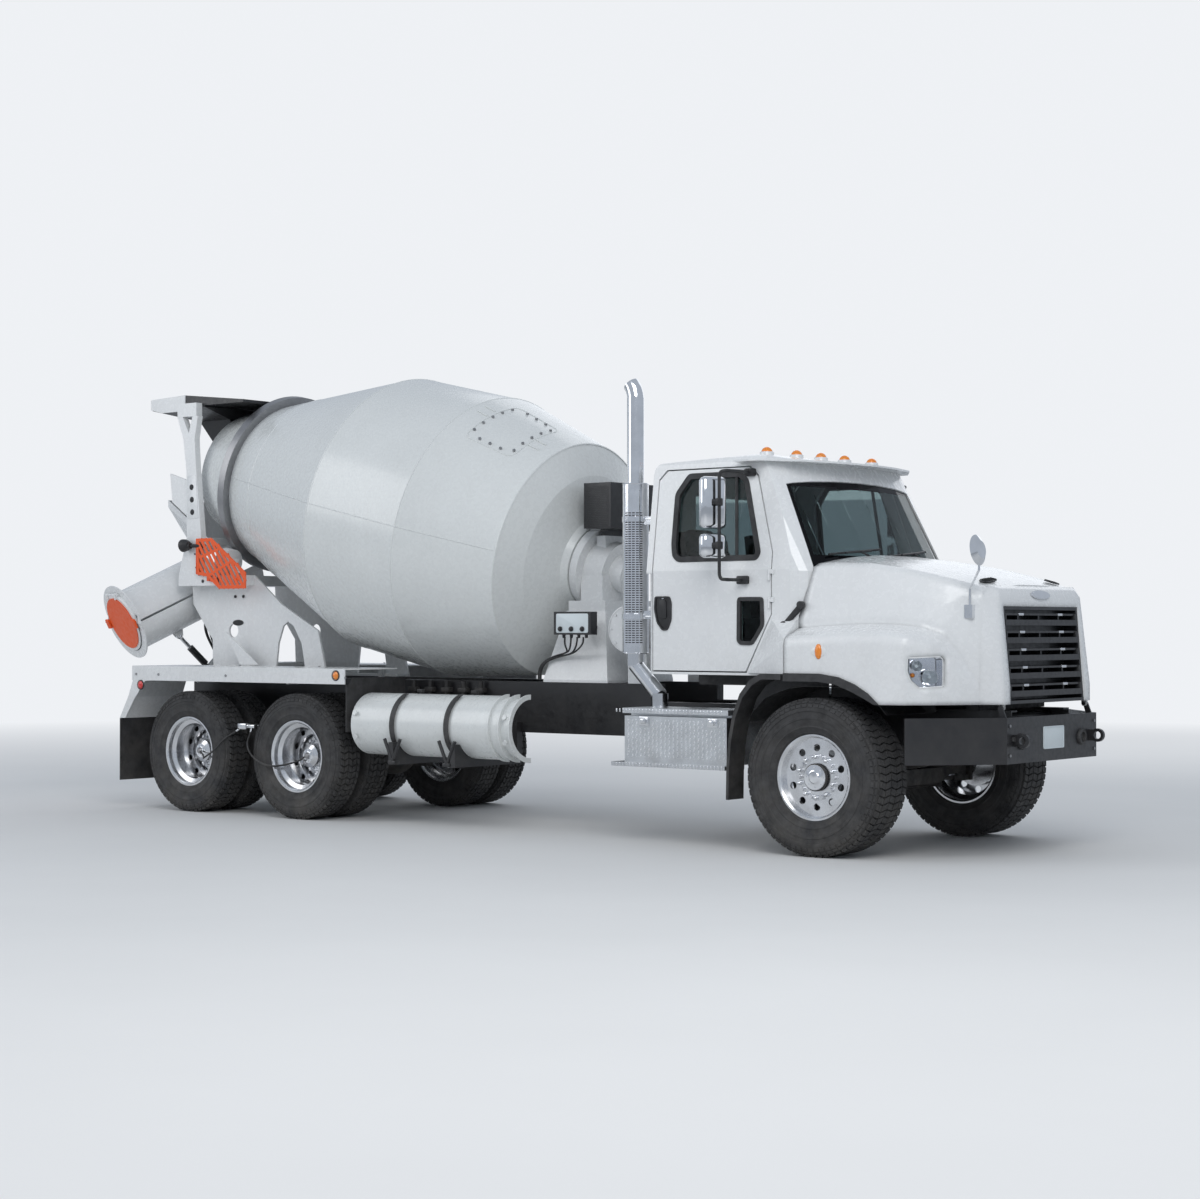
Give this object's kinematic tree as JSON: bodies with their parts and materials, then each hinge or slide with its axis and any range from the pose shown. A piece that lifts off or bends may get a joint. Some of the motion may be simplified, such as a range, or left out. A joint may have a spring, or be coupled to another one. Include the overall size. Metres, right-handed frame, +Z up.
{
  "type": "concrete mixer truck",
  "caption": "White concrete mixer truck with a day cab, tilting hood, tilted drum, rear charge hopper and a swinging folding discharge chute",
  "frame": {"origin": "middle of the bounding box on the ground", "axes": "+X forward, +Y to the truck's left, +Z up"},
  "size_m": [9.2305, 2.7, 3.7145],
  "materials": {
    "white_paint": "gloss",
    "black_paint": "satin",
    "orange_paint": "gloss",
    "bright_metal": "polished",
    "plate_aluminium": "brushed",
    "cast_black": "matte",
    "tyre_rubber": "matte",
    "black_rubber": "matte",
    "clear_glass": "clear",
    "black_plastic": "matte",
    "amber_lens": "gloss"
  },
  "bodies": {
    "chassis": {"frame_rails": "black_paint", "bumper": "black_paint", "front_axle": "cast_black", "rear_axles": "cast_black", "driveline": "cast_black", "cab_shell": "white_paint", "cab_glass": "clear_glass", "cab_interior": "black_plastic", "sun_visor": "white_paint", "marker_lamps": "amber_lens", "exhaust_stack": "bright_metal", "step_box": "plate_aluminium", "fuel_tank": "plate_aluminium", "stored_chutes": "white_paint", "front_pedestal": "white_paint", "drum_drive": "white_paint", "oil_cooler": "black_paint", "control_box": "black_paint", "rear_pedestal": "white_paint", "roller_guards": "orange_paint", "charge_hopper": "white_paint", "hopper_spout": "black_paint", "collector": "white_paint", "rear_decks": "white_paint", "mudguards": "black_rubber"},
    "hood": {"hood_shell": "white_paint", "grille": "black_paint", "hood_lamps": "plate_aluminium", "arch_flares": "black_rubber", "hood_mirrors": "bright_metal"},
    "door_right": {"door_r": "white_paint", "door_glass_r": "clear_glass", "mirror_r": "black_plastic"},
    "door_left": {"door_l": "white_paint", "door_glass_l": "clear_glass", "mirror_l": "black_plastic"},
    "knuckle_right": {"knuckle_r": "cast_black"},
    "knuckle_left": {"knuckle_l": "cast_black"},
    "tie_rod_body": {"tie_rod": "cast_black"},
    "front_wheel_right": {"front_tyre_r": "tyre_rubber", "front_rim_r": "bright_metal"},
    "front_wheel_left": {"front_tyre_l": "tyre_rubber", "front_rim_l": "bright_metal"},
    "rear_wheel_1_right": {"rear_tyres_1r": "tyre_rubber", "rear_rims_1r": "bright_metal"},
    "rear_wheel_1_left": {"rear_tyres_1l": "tyre_rubber", "rear_rims_1l": "bright_metal"},
    "rear_wheel_2_right": {"rear_tyres_2r": "tyre_rubber", "rear_rims_2r": "bright_metal"},
    "rear_wheel_2_left": {"rear_tyres_2l": "tyre_rubber", "rear_rims_2l": "bright_metal"},
    "drum": {"drum_shell": "white_paint", "drum_ring": "plate_aluminium"},
    "chute_turn": {"chute_bracket": "white_paint"},
    "lift_cylinder": {"lift_barrel": "black_paint"},
    "lift_piston": {"lift_rod": "bright_metal"},
    "main_chute": {"chute_main": "white_paint"},
    "folding_chute": {"chute_fold": "white_paint", "chute_cover": "orange_paint"}
  },
  "joints": [
    {"name": "hood_tilt", "type": "hinge", "parent": "chassis", "child": "hood", "pos_m": [4.4353, 0, 1.04], "axis": [0, 1, 0], "range_deg": [0, 70]},
    {"name": "door_r_swing", "type": "hinge", "parent": "chassis", "child": "door_right", "pos_m": [2.8103, -1.03, 1.9], "axis": [0, 0, 1], "range_deg": [0, 65]},
    {"name": "door_l_swing", "type": "hinge", "parent": "chassis", "child": "door_left", "pos_m": [2.8103, 1.03, 1.9], "axis": [0, 0, -1], "range_deg": [0, 65]},
    {"name": "steer_r", "type": "hinge", "parent": "chassis", "child": "knuckle_right", "pos_m": [3.2853, -0.84, 0.55], "axis": [0, 0, 1], "range_deg": [-28, 28]},
    {"name": "steer_l", "type": "hinge", "parent": "chassis", "child": "knuckle_left", "pos_m": [3.2853, 0.84, 0.55], "axis": [0, 0, 1], "range_deg": [-29, 29]},
    {"name": "tie_rod_slide", "type": "slide", "parent": "chassis", "child": "tie_rod_body", "axis": [0, 1, 0], "range_m": [-0.08, 0.08]},
    {"name": "front_wheel_r_spin", "type": "hinge", "parent": "knuckle_right", "child": "front_wheel_right", "pos_m": [3.2853, -1.022, 0.55], "axis": [0, 1, 0], "continuous": true},
    {"name": "front_wheel_l_spin", "type": "hinge", "parent": "knuckle_left", "child": "front_wheel_left", "pos_m": [3.2853, 1.022, 0.55], "axis": [0, 1, 0], "continuous": true},
    {"name": "rear_wheel_1r_spin", "type": "hinge", "parent": "chassis", "child": "rear_wheel_1_right", "pos_m": [-1.8047, -0.8875, 0.52], "axis": [0, 1, 0], "continuous": true},
    {"name": "rear_wheel_1l_spin", "type": "hinge", "parent": "chassis", "child": "rear_wheel_1_left", "pos_m": [-1.8047, 0.8875, 0.52], "axis": [0, 1, 0], "continuous": true},
    {"name": "rear_wheel_2r_spin", "type": "hinge", "parent": "chassis", "child": "rear_wheel_2_right", "pos_m": [-3.1247, -0.8875, 0.52], "axis": [0, 1, 0], "continuous": true},
    {"name": "rear_wheel_2l_spin", "type": "hinge", "parent": "chassis", "child": "rear_wheel_2_left", "pos_m": [-3.1247, 0.8875, 0.52], "axis": [0, 1, 0], "continuous": true},
    {"name": "drum_spin", "type": "hinge", "parent": "chassis", "child": "drum", "pos_m": [0.1723, 0, 2.137], "axis": [-0.9756, 0, 0.2196], "continuous": true},
    {"name": "chute_swing", "type": "hinge", "parent": "chassis", "child": "chute_turn", "pos_m": [-4.0147, 0, 1.6], "axis": [0, 0, 1], "range_deg": [-150, 0]},
    {"name": "chute_tilt", "type": "hinge", "parent": "chute_turn", "child": "main_chute", "pos_m": [-4.04226, -0.09613, 1.66], "axis": [-0.9613, 0.2756, 0], "range_deg": [-15, 10]},
    {"name": "chute_unfold", "type": "hinge", "parent": "main_chute", "child": "folding_chute", "pos_m": [-4.27825, -0.91911, 1.63414], "axis": [0.9613, -0.2756, 0], "range_deg": [0, 180]},
    {"name": "lift_foot", "type": "hinge", "parent": "chute_turn", "child": "lift_cylinder", "pos_m": [-4.04777, -0.11535, 1.22], "axis": [-0.9613, 0.2756, 0], "range_deg": [-5.5, 4]},
    {"name": "lift_stroke", "type": "slide", "parent": "lift_cylinder", "child": "lift_piston", "axis": [-0.1975, -0.6889, 0.6974], "range_m": [-0.095, 0.062]}
  ],
  "couplings": [
    {"joint": "steer_l", "follows": "steer_r", "ratio": 1},
    {"joint": "tie_rod_slide", "follows": "steer_r", "m_per_rad": -0.16},
    {"joint": "lift_foot", "follows": "chute_tilt", "ratio": 0.2703},
    {"joint": "lift_stroke", "follows": "chute_tilt", "m_per_rad": 0.3337}
  ]
}
